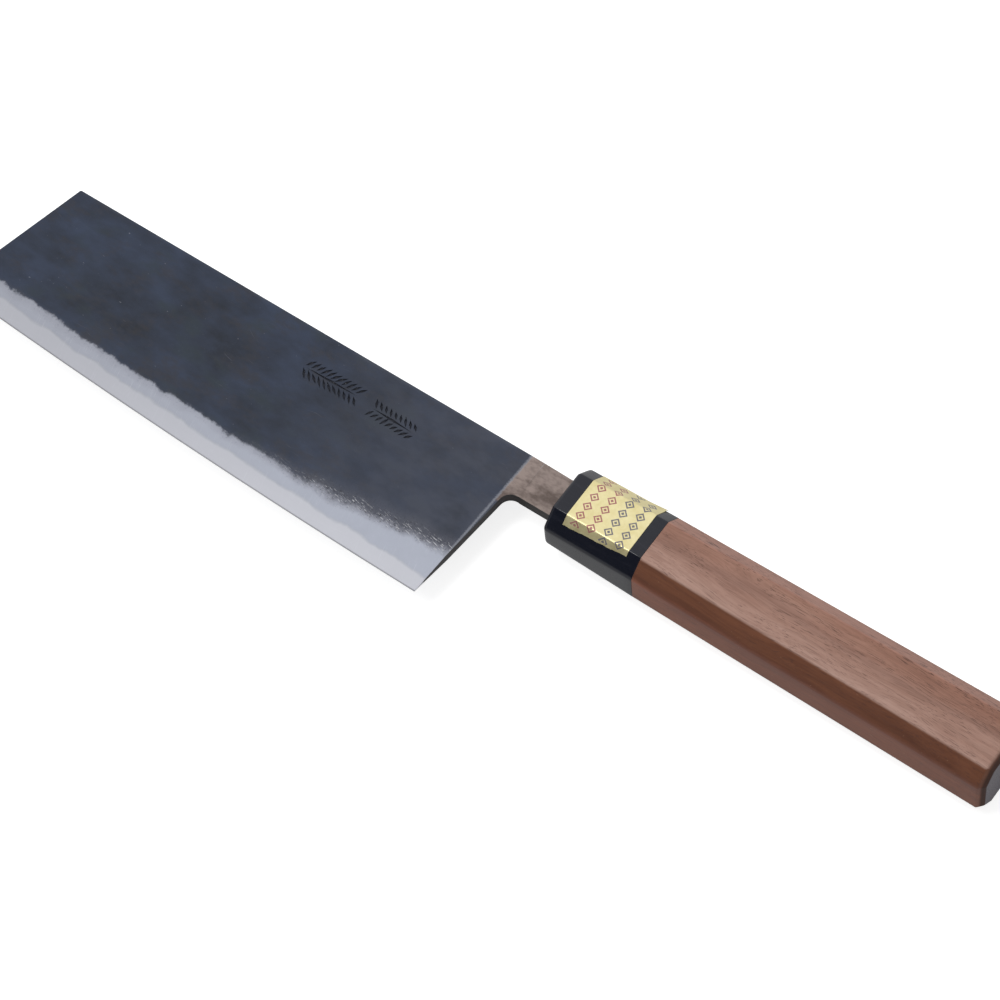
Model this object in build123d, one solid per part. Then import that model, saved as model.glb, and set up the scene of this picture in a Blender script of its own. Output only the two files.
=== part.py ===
from build123d import *
import os
from math import hypot, sqrt

# Nakiri knife with an octagonal handle, lying on its right side.
# +X runs along the knife from the blade towards the butt, +Y from the cutting edge
# towards the spine, and +Z is up, out of the blade's left face. Sizes are in millimetres.
# The pieces are drawn from the middle of the ferrule's mouth, on the handle's axis,
# and are moved at the end so that the origin is the bottom centre of the whole knife.

# Blade outline
neck_length = 15.0          # from the top of the heel to the ferrule's mouth
spine_rise = 6.4            # spine above the handle's axis
heel_drop = 44.1            # heel corner below the handle's axis
heel_lean = 3.6             # heel corner ahead of the top of the heel
edge_run = 163.7            # along the knife, from the heel corner to the front corner
edge_rise = 6.5             # front corner above the heel corner
edge_belly = 1.3            # bow of the cutting edge below its chord
front_lean = 11.2           # spine's front corner behind the edge's front corner
front_round = 0.6           # rounding of both front corners
heel_round = 3.5            # inner corner between the heel and the neck

# Blade thickness
neck_thickness = 3.8        # neck and spine at the heel
front_thickness = 2.9       # spine at the front
flat_relief = 0.4           # each face sinks this much from the spine to the bevel's top
edge_thickness = 0.2        # land left along the cutting edge
core_thickness = 0.8        # hard steel layer in the middle of the lamination
bevel_width = 13.3          # ground bevel at the heel, up from the cutting edge

# Tang
neck_drop = 6.0             # lower side of the neck below the handle's axis
mouth_rise = 6.2            # upper side of the tang at the ferrule's mouth
tang_length = 62.0          # from the ferrule's mouth to the end of the tang
tang_end_height = 6.0
tang_end_thickness = 2.4

# Handle, with three octagons: at the ferrule's mouth, at the joint and at the butt
ferrule_length = 29.0
handle_length = 139.2       # ferrule and wood together
mouth_height = 22.2
mouth_width = 17.6
mouth_corner = 5.0          # leg of each slanted facet
joint_height = 22.7
joint_width = 19.7
joint_corner = 4.9
butt_height = 24.7
butt_width = 21.2
butt_corner = 4.5
edge_round = 0.7            # softened edges between the facets and round both ends
butt_bevel = 1.8            # slanted band around the butt

# Dowel and mortise
ferrule_wall = 5.0          # solid horn in front of the dowel
dowel_height = 15.6
dowel_width = 9.6
dowel_length = 64.0
dowel_clearance = 0.1       # glue line between the dowel and its mortise
mortise_spare = 1.0         # room past the end of the dowel
tang_clearance = 0.15       # glue line around the tang in its slot

# Seal round the tang
seal_margin = 0.9           # resin all round the tang
seal_recess = 0.3           # resin stands back from the ferrule's rim

# Foil label over the ferrule
foil_thickness = 0.12
label_start = 5.0           # from the ferrule's mouth
label_length = 20.2
label_edge_wrap = 2.0       # over the slanted facet on the edge side
label_spine_wrap = 1.2      # down the spine facet, past the slanted facet

overrun = 2.0               # cuts run this far past what they cut

neck_half = neck_thickness / 2
core_half = core_thickness / 2
edge_half = edge_thickness / 2

heel_top_x = -neck_length
heel_x = heel_top_x - heel_lean
front_x = heel_x - edge_run
front_y = edge_rise - heel_drop
spine_front_x = front_x + front_lean


def edge_circle():
    """Centre and radius of the long arc that the cutting edge follows."""
    chord = hypot(edge_run, edge_rise)
    radius = chord * chord / (8 * edge_belly) + edge_belly / 2
    middle = Vector(heel_x - edge_run / 2, -heel_drop + edge_rise / 2, 0)
    inward = Vector(edge_rise, edge_run, 0).normalized()
    return middle + inward * (radius - edge_belly), radius


def forging_outline():
    """Side view of blade, neck and tang as one face."""
    centre, radius = edge_circle()
    inward = Vector(edge_rise, edge_run, 0).normalized()
    belly = centre - inward * radius
    heel_corner = (heel_x, -heel_drop)
    front_corner = (front_x, front_y)
    edge = ThreePointArc(heel_corner, (belly.X, belly.Y), front_corner)
    rest = Polyline(
        front_corner,
        (spine_front_x, spine_rise),
        (heel_top_x, spine_rise),
        (0, mouth_rise),
        (tang_length, tang_end_height / 2),
        (tang_length, -tang_end_height / 2),
        (0, -neck_drop),
        (heel_top_x, -neck_drop),
        heel_corner,
    )
    face = make_face([edge, rest])
    front_corners = face.vertices().sort_by(Axis.X)[:2]
    face = fillet(front_corners, front_round)
    inner_corner = face.vertices().sort_by_distance((heel_top_x, -neck_drop))[0]
    return fillet(inner_corner, heel_round)


def layer(low, high):
    """The outline as a plate between two heights."""
    return extrude(Location((0, 0, low)) * forging_outline(), high - low, dir=(0, 0, 1))


def space_above(start, along, across, length):
    """A block above the plane through three points, running from the first to the second."""
    along_dir = Vector(*along) - Vector(*start)
    across_dir = Vector(*across) - Vector(*start)
    normal = along_dir.cross(across_dir)
    if normal.Z < 0:
        normal = -normal
    plane = Plane(origin=start, x_dir=along_dir, z_dir=normal)
    width = 2 * (heel_drop + spine_rise + overrun)
    block = Box(length, width, neck_thickness, align=(Align.MIN, Align.CENTER, Align.MIN))
    return plane * block


def blade_relief():
    """What comes off the left face of the blade, thinner to the front and to the edge."""
    start_x = heel_top_x + heel_round
    drop = heel_drop + spine_rise - bevel_width
    return space_above(
        (start_x, spine_rise, neck_half),
        (spine_front_x, spine_rise, front_thickness / 2),
        (start_x, spine_rise - drop, neck_half - flat_relief),
        start_x - front_x + overrun,
    )


def tang_relief():
    """What comes off the left face of the tang, thinner towards its end."""
    return space_above(
        (0, 0, neck_half),
        (tang_length, 0, tang_end_thickness / 2),
        (0, spine_rise, neck_half),
        tang_length + overrun,
    )


def bevel_cutter():
    """What the grinding takes off the left face: a ring with a conical underside."""
    centre, radius = edge_circle()
    slope = (neck_half - flat_relief - edge_half) / bevel_width
    reach = (neck_thickness - edge_half) / slope
    profile = Polyline(
        (radius, edge_half),
        (radius - reach, neck_thickness),
        (radius + overrun, neck_thickness),
        (radius + overrun, edge_half),
        close=True,
    )
    ring = revolve(Plane.XZ * make_face(profile), Axis.Z)
    return Location(centre) * ring


def cladding_left():
    """Soft iron over the core on the side that lies upwards."""
    plate = layer(core_half, neck_half)
    return plate - blade_relief() - tang_relief() - bevel_cutter()


def core_steel():
    """Hard steel in the middle, bare along the cutting edge."""
    cutter = bevel_cutter()
    return layer(-core_half, core_half) - cutter - mirror(cutter, Plane.XY)


def sizes_at(x):
    """Height, width and facet leg of the handle's octagon at a distance from the mouth."""
    mouth = (0, mouth_height, mouth_width, mouth_corner)
    joint = (ferrule_length, joint_height, joint_width, joint_corner)
    butt = (handle_length, butt_height, butt_width, butt_corner)
    low, high = (mouth, joint) if x <= ferrule_length else (joint, butt)
    share = (x - low[0]) / (high[0] - low[0])
    return [a + (b - a) * share for a, b in zip(low[1:], high[1:])]


def octagon(x, grow=0.0):
    """Corners of the handle's cross-section, grown evenly by a coating's thickness."""
    height, width, corner = sizes_at(x)
    up = height / 2 + grow
    out = width / 2 + grow
    leg = corner + grow * (2 - sqrt(2))
    return [
        (x, up, out - leg),
        (x, up - leg, out),
        (x, leg - up, out),
        (x, -up, out - leg),
        (x, -up, leg - out),
        (x, leg - up, -out),
        (x, up - leg, -out),
        (x, up, leg - out),
    ]


def octagon_bar(rings, sharp_x, grow=0.0):
    """Bar with flat facets through rings of corners, sharp only at one end."""
    faces = [make_face(Polyline(*ring, close=True)) for ring in (rings[0], rings[-1])]
    for front, back in zip(rings, rings[1:]):
        for here in range(len(front)):
            corners = (front[here - 1], front[here], back[here], back[here - 1])
            faces.append(make_face(Polyline(*corners, close=True)))
    bar = Solid(Shell(faces))
    soft_edges = bar.edges().filter_by(lambda edge: abs(edge.center().X - sharp_x) > edge_round)
    return fillet(soft_edges, edge_round + grow)


def ferrule_blank(grow=0.0):
    """The ferrule's outside, with its rear face left sharp for the joint."""
    rings = [octagon(0, grow), octagon(ferrule_length, grow)]
    return octagon_bar(rings, ferrule_length, grow)


def stadium_bar(start, end, height, width):
    """Bar with rounded narrow sides, as a router leaves its mortise."""
    shape = SlotOverall(height, width)
    return extrude(Plane.YZ.offset(start) * shape, end - start, dir=(1, 0, 0))


def tang_space(start, end, gap):
    """Tapered slot that follows the tang with an even gap."""
    faces = []
    for x in (start, end):
        share = x / tang_length
        top = mouth_rise + (tang_end_height / 2 - mouth_rise) * share + gap
        bottom = -neck_drop + (neck_drop - tang_end_height / 2) * share - gap
        thick = neck_thickness + (tang_end_thickness - neck_thickness) * share + 2 * gap
        section = Rectangle(top - bottom, thick)
        middle = (top + bottom) / 2
        faces.append(Plane.YZ.offset(x) * Location((middle, 0, 0)) * section)
    return loft(faces, ruled=True)


def seal_space(start, end):
    """Opening in the ferrule's front wall, wider than the tang all round."""
    height = mouth_rise + neck_drop + 2 * seal_margin
    width = neck_thickness + 2 * seal_margin
    middle = (mouth_rise - neck_drop) / 2
    return Location((0, middle, 0)) * stadium_bar(start, end, height, width)


def mortise(start, end):
    """Room for the dowel and its glue line."""
    gap = 2 * dowel_clearance
    return stadium_bar(start, end, dowel_height + gap, dowel_width + gap)


def ferrule():
    """Black horn collar with a front wall, bored from behind for the dowel."""
    body = ferrule_blank() - seal_space(-overrun, ferrule_wall + overrun)
    return body - mortise(ferrule_wall, ferrule_length + overrun)


def handle_body():
    """Walnut handle with a slanted band round the butt and a blind mortise."""
    rings = [
        octagon(ferrule_length),
        octagon(handle_length - butt_bevel),
        octagon(handle_length, -butt_bevel),
    ]
    body = octagon_bar(rings, ferrule_length)
    mortise_end = ferrule_wall + dowel_length + mortise_spare
    return body - mortise(ferrule_length - overrun, mortise_end)


def tang_dowel():
    """Hidden wooden dowel, slotted for the tang, that joins ferrule and handle."""
    bar = stadium_bar(ferrule_wall, ferrule_wall + dowel_length, dowel_height, dowel_width)
    return bar - tang_space(0, tang_length + tang_clearance, tang_clearance)


def mouth_seal(tang_pieces):
    """Resin that closes the ferrule's opening round the tang."""
    plug = seal_space(seal_recess, ferrule_wall)
    for piece in tang_pieces:
        plug = plug - piece
    return plug


def label():
    """Foil over the left facet and the slanted facets beside it."""
    end = label_start + label_length
    sleeve = ferrule_blank(foil_thickness) - ferrule_blank()
    windows = []
    for x in (label_start, end):
        height, width, corner = sizes_at(x)
        top = width / 2 + overrun
        near = -height / 2 - overrun
        far = height / 2 + overrun
        near_low = width / 2 - label_edge_wrap / sqrt(2)
        far_low = width / 2 - corner - label_spine_wrap
        outline = Polyline(
            (near, top),
            (near, near_low),
            (0, near_low),
            (0, far_low),
            (far, far_low),
            (far, top),
            close=True,
        )
        windows.append(Plane.YZ.offset(x) * make_face(outline))
    return sleeve & loft(windows, ruled=True)


left = cladding_left()
right = mirror(left, Plane.XY)
core = core_steel()

pieces = {
    "core_steel": core,
    "cladding_left": left,
    "cladding_right": right,
    "ferrule": ferrule(),
    "handle_body": handle_body(),
    "tang_dowel": tang_dowel(),
    "mouth_seal": mouth_seal([core, left, right]),
    "label": label(),
}

# The origin goes to the bottom centre of the whole knife
whole = Compound(children=[Part(piece.wrapped) for piece in pieces.values()])
bounds = whole.bounding_box()
centre = bounds.center()
to_origin = Location((-centre.X, -centre.Y, -bounds.min.Z))

os.makedirs("parts", exist_ok=True)
for name, piece in pieces.items():
    export_step(to_origin * piece, f"parts/{name}.step")

print("size", bounds.size, "ferrule's mouth at", to_origin.position)
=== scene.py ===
import math
import random

import bmesh
import bpy
from mathutils import Matrix, Vector, noise


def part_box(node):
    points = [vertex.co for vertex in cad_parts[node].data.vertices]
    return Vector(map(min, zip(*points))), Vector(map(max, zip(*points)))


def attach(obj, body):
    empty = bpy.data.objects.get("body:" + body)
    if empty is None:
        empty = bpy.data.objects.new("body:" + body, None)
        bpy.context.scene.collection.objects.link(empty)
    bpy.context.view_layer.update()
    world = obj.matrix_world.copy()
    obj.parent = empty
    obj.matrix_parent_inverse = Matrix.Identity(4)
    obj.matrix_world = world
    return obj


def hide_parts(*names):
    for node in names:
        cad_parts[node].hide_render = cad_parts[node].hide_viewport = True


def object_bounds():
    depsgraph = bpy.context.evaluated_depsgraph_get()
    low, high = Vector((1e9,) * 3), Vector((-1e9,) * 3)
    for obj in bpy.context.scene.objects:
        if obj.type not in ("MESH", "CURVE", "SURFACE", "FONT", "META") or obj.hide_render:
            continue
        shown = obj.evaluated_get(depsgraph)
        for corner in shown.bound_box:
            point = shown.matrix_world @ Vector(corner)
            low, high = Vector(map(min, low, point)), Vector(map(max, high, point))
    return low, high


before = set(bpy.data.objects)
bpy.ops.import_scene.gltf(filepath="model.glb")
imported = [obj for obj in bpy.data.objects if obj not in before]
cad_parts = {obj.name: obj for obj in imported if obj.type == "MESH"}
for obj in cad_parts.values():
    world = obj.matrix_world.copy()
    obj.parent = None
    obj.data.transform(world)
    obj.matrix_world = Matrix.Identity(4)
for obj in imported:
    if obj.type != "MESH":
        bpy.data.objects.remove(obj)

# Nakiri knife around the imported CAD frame. Metres, +X to the butt, +Y to the spine, +Z up.

cadLow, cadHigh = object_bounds()
mm = 0.001

ferruleLow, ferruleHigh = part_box("ferrule")
handleLow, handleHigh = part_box("handle_body")
coreLow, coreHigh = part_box("core_steel")
sealLow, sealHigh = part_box("mouth_seal")
dowelLow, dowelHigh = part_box("tang_dowel")

mouthX = ferruleLow.x                        # front face of the ferrule
jointX = ferruleHigh.x                       # where horn meets wood
buttX = handleHigh.x
axisY = (ferruleLow.y + ferruleHigh.y) / 2   # the handle's axis
axisZ = (coreLow.z + coreHigh.z) / 2

print("frame loaded, handle from", round(mouthX, 4), "to", round(buttX, 4))


# Node helpers

def put(tree, kind, links=None, **settings):
    made = tree.nodes.new(kind)
    for name, value in settings.items():
        setattr(made, name, value)
    for key, value in (links or {}).items():
        join(tree, value, made.inputs[key])
    return made


def join(tree, value, socket):
    if isinstance(value, bpy.types.NodeSocket):
        tree.links.new(value, socket)
    else:
        socket.default_value = value


def calc(tree, operation, first, second=0.0, third=0.0):
    links = {0: first, 1: second, 2: third}
    return put(tree, "ShaderNodeMath", links, operation=operation).outputs[0]


def spread(tree, value, low, high, toLow=0.0, toHigh=1.0, smooth=True):
    kind = "SMOOTHSTEP" if smooth else "LINEAR"
    links = {"Value": value, "From Min": low, "From Max": high, "To Min": toLow, "To Max": toHigh}
    return put(tree, "ShaderNodeMapRange", links, interpolation_type=kind).outputs[0]


def mixColor(tree, factor, first, second, blendType="MIX"):
    made = put(tree, "ShaderNodeMix", data_type="RGBA", blend_type=blendType)
    join(tree, factor, made.inputs[0])
    join(tree, first, made.inputs[6])
    join(tree, second, made.inputs[7])
    return made.outputs[2]


def mixValue(tree, factor, first, second):
    made = put(tree, "ShaderNodeMix", data_type="FLOAT")
    join(tree, factor, made.inputs[0])
    join(tree, first, made.inputs[2])
    join(tree, second, made.inputs[3])
    return made.outputs[0]


def cloud(tree, vector, scale, detail=3.0, rough=0.55, distort=0.0):
    links = {"Vector": vector, "Scale": scale, "Detail": detail}
    links["Roughness"] = rough
    links["Distortion"] = distort
    return put(tree, "ShaderNodeTexNoise", links).outputs["Fac"]


def stretched(tree, vector, scale, turn=(0.0, 0.0, 0.0)):
    links = {"Vector": vector, "Scale": scale, "Rotation": turn}
    return put(tree, "ShaderNodeMapping", links).outputs[0]


def objectCoords(tree):
    return put(tree, "ShaderNodeTexCoord").outputs["Object"]


def attribute(tree, name):
    return put(tree, "ShaderNodeAttribute", attribute_name=name).outputs["Fac"]


def bump(tree, height, strength, distance, normal=None):
    links = {"Height": height, "Strength": strength, "Distance": distance}
    if normal is not None:
        links["Normal"] = normal
    return put(tree, "ShaderNodeBump", links).outputs[0]


# Screen colour, 0 to 255, as a linear colour
def linear(red, green, blue):
    levels = [value / 255 for value in (red, green, blue)]
    return tuple(v / 12.92 if v <= 0.04045 else ((v + 0.055) / 1.055) ** 2.4 for v in levels) + (1.0,)


def newMaterial(name):
    material = bpy.data.materials.new(name)
    material.use_nodes = True
    tree = material.node_tree
    tree.nodes.clear()
    shader = put(tree, "ShaderNodeBsdfPrincipled")
    out = put(tree, "ShaderNodeOutputMaterial")
    tree.links.new(shader.outputs[0], out.inputs["Surface"])
    return material, tree, shader


# Shader group with a vector, float inputs (name, value) and outputs (name, socket type)
def newGroup(name, inputs, outputs):
    tree = bpy.data.node_groups.new(name, "ShaderNodeTree")
    tree.interface.new_socket("Vector", in_out="INPUT", socket_type="NodeSocketVector")
    for label, value in inputs:
        socket = tree.interface.new_socket(label, in_out="INPUT", socket_type="NodeSocketFloat")
        socket.default_value = value
    for label, kind in outputs:
        tree.interface.new_socket(label, in_out="OUTPUT", socket_type=kind)
    start = put(tree, "NodeGroupInput")
    end = put(tree, "NodeGroupOutput")
    return tree, start.outputs, end.inputs


def useGroup(tree, group, vector, **values):
    made = put(tree, "ShaderNodeGroup", node_tree=group)
    join(tree, vector, made.inputs["Vector"])
    for label, value in values.items():
        join(tree, value, made.inputs[label])
    return made.outputs


# Mesh helpers, in millimetres from the middle of the ferrule's mouth

def spot(x, y, z):
    return Vector((mouthX + x * mm, axisY + y * mm, axisZ + z * mm))


def newPiece(name, mesh):
    piece = bpy.data.objects.new(name, mesh)
    bpy.context.scene.collection.objects.link(piece)
    return piece


def meshFrom(name, points, faces):
    mesh = bpy.data.meshes.new(name)
    mesh.from_pydata([spot(*point) for point in points], [], faces)
    mesh.update()
    return mesh


# Turns a piece's modifiers into plain mesh
def settle(piece):
    bpy.context.view_layer.update()
    graph = bpy.context.evaluated_depsgraph_get()
    done = bpy.data.meshes.new_from_object(piece.evaluated_get(graph))
    piece.modifiers.clear()
    piece.data = done
    return piece


def carve(piece, cutter):
    change = piece.modifiers.new("carve", "BOOLEAN")
    change.operation = "DIFFERENCE"
    change.solver = "EXACT"
    change.material_mode = "TRANSFER"
    change.object = cutter
    settle(piece)
    bpy.data.objects.remove(cutter)


def smooth(piece, angle):
    for face in piece.data.polygons:
        face.use_smooth = True
    piece.data.set_sharp_from_angle(angle=math.radians(angle))


# Camera, floor and light

camera = {
    "place": (0.385815, -0.427647, 1.045286),
    "ahead": (-0.32072, 0.36692, -0.87322),
    "roll": -6.570,
    "lens": 158.695,
}

ahead = Vector(camera["ahead"]).normalized()
across = ahead.cross(Vector((0, 0, 1))).normalized()
upward = across.cross(ahead)
turn = math.radians(camera["roll"])
rightDir = across * math.cos(turn) + upward * math.sin(turn)
upDir = upward * math.cos(turn) - across * math.sin(turn)
lensData = bpy.data.cameras.new("photoCamera")
lensData.lens = camera["lens"]
lensData.sensor_width = 36
lensData.clip_start = 0.01
cameraObject = newPiece("photoCamera", lensData)
aim = Matrix((rightDir, upDir, -ahead)).transposed().to_4x4()
cameraObject.matrix_world = Matrix.Translation(camera["place"]) @ aim
bpy.context.scene.camera = cameraObject
bpy.context.scene.view_settings.view_transform = "Standard"

studio = {
    "skyLight": 0.45,            # on diffuse surfaces
    "lamps": [                   # name, watts, width, direction, distance, shows in reflections
        ("softLamp", 14.0, 0.9, (-0.30, 0.06, 0.95), 1.6, False),
        ("edgeLamp", 4.5, 0.42, (-0.30, -0.36, 0.88), 1.6, True),
    ],
    "floorColor": (0.50, 0.50, 0.50, 1),
    "floorLift": 0.78,           # added for the camera
    "floorGleam": 0.16,          # added in reflections
    "cardColor": (0.10, 0.10, 0.11, 1),
}

world = bpy.data.worlds.new("studioSky")
bpy.context.scene.world = world
world.use_nodes = True
sky = world.node_tree
sky.nodes.clear()
rays = put(sky, "ShaderNodeLightPath")
seen = calc(sky, "MAXIMUM", rays.outputs["Is Camera Ray"], rays.outputs["Is Glossy Ray"])
seen = calc(sky, "MAXIMUM", seen, rays.outputs["Is Transmission Ray"])
strength = mixValue(sky, seen, studio["skyLight"], 1.0)
glow = put(sky, "ShaderNodeBackground", {"Color": (1, 1, 1, 1), "Strength": strength})
skyOut = put(sky, "ShaderNodeOutputWorld")
sky.links.new(glow.outputs[0], skyOut.inputs["Surface"])

for name, watts, width, direction, distance, shows in studio["lamps"]:
    lampData = bpy.data.lights.new(name, "AREA")
    lampData.shape = "DISK"
    lampData.size = width
    lampData.energy = watts
    lamp = newPiece(name, lampData)
    lampDir = Vector(direction).normalized()
    lamp.location = lampDir * distance
    lamp.rotation_euler = lampDir.to_track_quat("Z", "Y").to_euler()
    lamp.visible_glossy = shows

floorMaterial, tree, shader = newMaterial("paleFloor")
shader.inputs["Base Color"].default_value = studio["floorColor"]
shader.inputs["Roughness"].default_value = 0.9
shader.inputs["Specular IOR Level"].default_value = 0.1
rays = put(tree, "ShaderNodeLightPath")
seen = calc(tree, "MAXIMUM", rays.outputs["Is Glossy Ray"], rays.outputs["Is Transmission Ray"])
gleam = calc(tree, "MULTIPLY", seen, studio["floorGleam"])
lift = calc(tree, "MULTIPLY_ADD", rays.outputs["Is Camera Ray"], studio["floorLift"], gleam)
shader.inputs["Emission Color"].default_value = (1, 1, 1, 1)
tree.links.new(lift, shader.inputs["Emission Strength"])

floorMesh = bpy.data.meshes.new("floor")
disc = bmesh.new()
bmesh.ops.create_circle(disc, cap_ends=True, segments=96, radius=6.0)
bmesh.ops.translate(disc, verts=disc.verts, vec=(0, 0, cadLow.z - 0.00005))
disc.to_mesh(floorMesh)
disc.free()
floor = newPiece("floor", floorMesh)
floorMesh.materials.append(floorMaterial)

# A dark card low in front, seen only in reflections
cardMaterial, tree, shader = newMaterial("darkCard")
shader.inputs["Base Color"].default_value = studio["cardColor"]
shader.inputs["Roughness"].default_value = 0.9
cardMesh = bpy.data.meshes.new("darkCard")
cardSpots = [(-1.6, -0.9, 0.12), (1.0, -0.9, 0.12), (1.0, -0.75, 0.95), (-1.6, -0.75, 0.95)]
cardMesh.from_pydata(cardSpots, [], [(3, 2, 1, 0)])
cardMesh.materials.append(cardMaterial)
card = newPiece("darkCard", cardMesh)
for side in ("visible_camera", "visible_diffuse", "visible_shadow", "visible_transmission"):
    setattr(card, side, False)

print("camera, floor and lights are set")


# Effects that several finishes share

# Soft mottling of two sizes
mottle, start, end = newGroup("mottle", [("Size", 6.0), ("Contrast", 1.0)], [("Value", "NodeSocketFloat")])
step = calc(mottle, "DIVIDE", 1.0, start["Size"])
broad = cloud(mottle, start["Vector"], step, 4.0, 0.6)
fine = cloud(mottle, start["Vector"], calc(mottle, "MULTIPLY", step, 5.3), 3.0, 0.6)
both = calc(mottle, "ADD", calc(mottle, "MULTIPLY", broad, 0.68), calc(mottle, "MULTIPLY", fine, 0.32))
centred = calc(mottle, "MULTIPLY", calc(mottle, "SUBTRACT", both, 0.5), start["Contrast"])
join(mottle, put(mottle, "ShaderNodeClamp", {0: calc(mottle, "ADD", centred, 0.5)}).outputs[0], end["Value"])

# Thin scratches along the local X axis
scratches, start, end = newGroup("scratches", [("Length", 8.0), ("Width", 0.1), ("Amount", 0.3)],
                                 [("Mask", "NodeSocketFloat"), ("Height", "NodeSocketFloat")])
parts = put(scratches, "ShaderNodeSeparateXYZ", {0: start["Vector"]}).outputs
longX = calc(scratches, "DIVIDE", parts[0], start["Length"])
thinY = calc(scratches, "DIVIDE", parts[1], start["Width"])
lane = put(scratches, "ShaderNodeCombineXYZ", {0: longX, 1: thinY, 2: parts[2]}).outputs[0]
streak = cloud(scratches, lane, 1.0, 2.0, 0.5)
limit = calc(scratches, "SUBTRACT", 0.86, calc(scratches, "MULTIPLY", start["Amount"], 0.4))
join(scratches, spread(scratches, streak, limit, calc(scratches, "ADD", limit, 0.09)), end["Mask"])
join(scratches, streak, end["Height"])

# Where a point lies on the blade: above the cutting edge, above the shoulder, behind the neck line
bladePlan = {
    "heel": (-18.6, -44.1), "front": (-182.3, -37.6), "belly": 1.3,
    "shoulder": [(0, 30.0), (22, 30.0), (30, 30.6), (40, 32.0), (55, 33.0), (70, 33.6), (85, 33.2),
                 (100, 32.8), (115, 32.2), (130, 32.0), (145, 31.0), (160, 30.0), (190, 29.8)],
    "neckLine": (-15.85, -0.046),
}
heelX, heelY = bladePlan["heel"]
frontX, frontY = bladePlan["front"]
chord = math.hypot(heelX - frontX, frontY - heelY)
arcRadius = chord ** 2 / (8 * bladePlan["belly"]) + bladePlan["belly"] / 2
inX, inY = (frontY - heelY) / chord, (heelX - frontX) / chord
centreX = (heelX + frontX) / 2 + inX * (arcRadius - bladePlan["belly"])
centreY = (heelY + frontY) / 2 + inY * (arcRadius - bladePlan["belly"])

bladeSpot, start, end = newGroup("bladeSpot", [("Wander", 1.0)],
                                 [("EdgeRise", "NodeSocketFloat"), ("ScaleRise", "NodeSocketFloat"),
                                  ("NeckRun", "NodeSocketFloat")])
parts = put(bladeSpot, "ShaderNodeSeparateXYZ", {0: start["Vector"]}).outputs
away = put(bladeSpot, "ShaderNodeCombineXYZ", {0: calc(bladeSpot, "SUBTRACT", parts[0], centreX),
                                               1: calc(bladeSpot, "SUBTRACT", parts[1], centreY)}).outputs[0]
reach = put(bladeSpot, "ShaderNodeVectorMath", {0: away}, operation="LENGTH").outputs["Value"]
join(bladeSpot, calc(bladeSpot, "SUBTRACT", arcRadius, reach), end["EdgeRise"])
curveNode = put(bladeSpot, "ShaderNodeFloatCurve", {"Value": calc(bladeSpot, "DIVIDE", parts[0], -190.0)})
line = curveNode.mapping.curves[0]
line.points[0].location = (0, bladePlan["shoulder"][0][1] / 50)
line.points[-1].location = (1, bladePlan["shoulder"][-1][1] / 50)
for run, drop in bladePlan["shoulder"][1:-1]:
    line.points.new(run / 190, drop / 50)
curveNode.mapping.update()
shoulderY = calc(bladeSpot, "MULTIPLY", curveNode.outputs[0], -50.0)
waves = calc(bladeSpot, "SUBTRACT", cloud(bladeSpot, start["Vector"], 0.16, 4.0, 0.62), 0.5)
rise = calc(bladeSpot, "SUBTRACT", parts[1], shoulderY)
join(bladeSpot, calc(bladeSpot, "ADD", rise, calc(bladeSpot, "MULTIPLY", waves, start["Wander"])), end["ScaleRise"])
lineX = calc(bladeSpot, "MULTIPLY_ADD", parts[1], bladePlan["neckLine"][1] * -1.0, bladePlan["neckLine"][0])
join(bladeSpot, calc(bladeSpot, "SUBTRACT", parts[0], lineX), end["NeckRun"])


# Object coordinates in millimetres from the ferrule's mouth
def knifeCoords(tree, turned=0.0):
    links = {"Vector": objectCoords(tree), "Location": (-mouthX / mm, -axisY / mm, -axisZ / mm),
             "Scale": (1 / mm, 1 / mm, 1 / mm)}
    moved = put(tree, "ShaderNodeMapping", links).outputs[0]
    if turned:
        moved = stretched(tree, moved, (1, 1, 1), (0, 0, math.radians(turned)))
    return moved


# Finish of the ground steel, the same on the cladding's bevel and on the core, with a painted reflection that lightens
# it toward the heel
groundFinish = {
    "haze": linear(160, 163, 174), "hazeDark": linear(151, 154, 164), "edgeLight": linear(174, 175, 182),
    "heelLitHaze": linear(170, 174, 186), "heelLitHazeDark": linear(160, 164, 176), "heelLitEdge": linear(190, 191, 198),
    "scratchLight": linear(205, 207, 214), "lineDark": linear(118, 118, 122),
    "roughness": 0.42,
}

groundSteel, start, end = newGroup("groundSteel", [("EdgeRise", 0.0)],
                                   [("Color", "NodeSocketColor"), ("Roughness", "NodeSocketFloat"),
                                    ("Height", "NodeSocketFloat")])
clouds = useGroup(groundSteel, mottle, start["Vector"], Size=9.0, Contrast=1.7)["Value"]
alongBlade = put(groundSteel, "ShaderNodeSeparateXYZ", {0: start["Vector"]}).outputs[0]
# Lighter toward the heel: painted reflection on the ground steel
heelReflection = spread(groundSteel, alongBlade, -165.0, -35.0)
dim = mixColor(groundSteel, heelReflection, groundFinish["hazeDark"], groundFinish["heelLitHazeDark"])
bright = mixColor(groundSteel, heelReflection, groundFinish["haze"], groundFinish["heelLitHaze"])
tone = mixColor(groundSteel, clouds, dim, bright)
lowTone = mixColor(groundSteel, heelReflection, groundFinish["edgeLight"], groundFinish["heelLitEdge"])
wobble = calc(groundSteel, "MULTIPLY", calc(groundSteel, "SUBTRACT", cloud(groundSteel, start["Vector"], 0.11, 3.0), 0.5), 3.4)
coreRise = calc(groundSteel, "ADD", start["EdgeRise"], wobble)
nearEdge = spread(groundSteel, coreRise, 5.6, 4.4)
tone = mixColor(groundSteel, calc(groundSteel, "MULTIPLY", nearEdge, 0.90), tone, lowTone)
onLine = calc(groundSteel, "MULTIPLY", spread(groundSteel, coreRise, 4.3, 4.9), spread(groundSteel, coreRise, 5.7, 5.0))
tone = mixColor(groundSteel, calc(groundSteel, "MULTIPLY", onLine, 0.10), tone, groundFinish["lineDark"])
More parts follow.
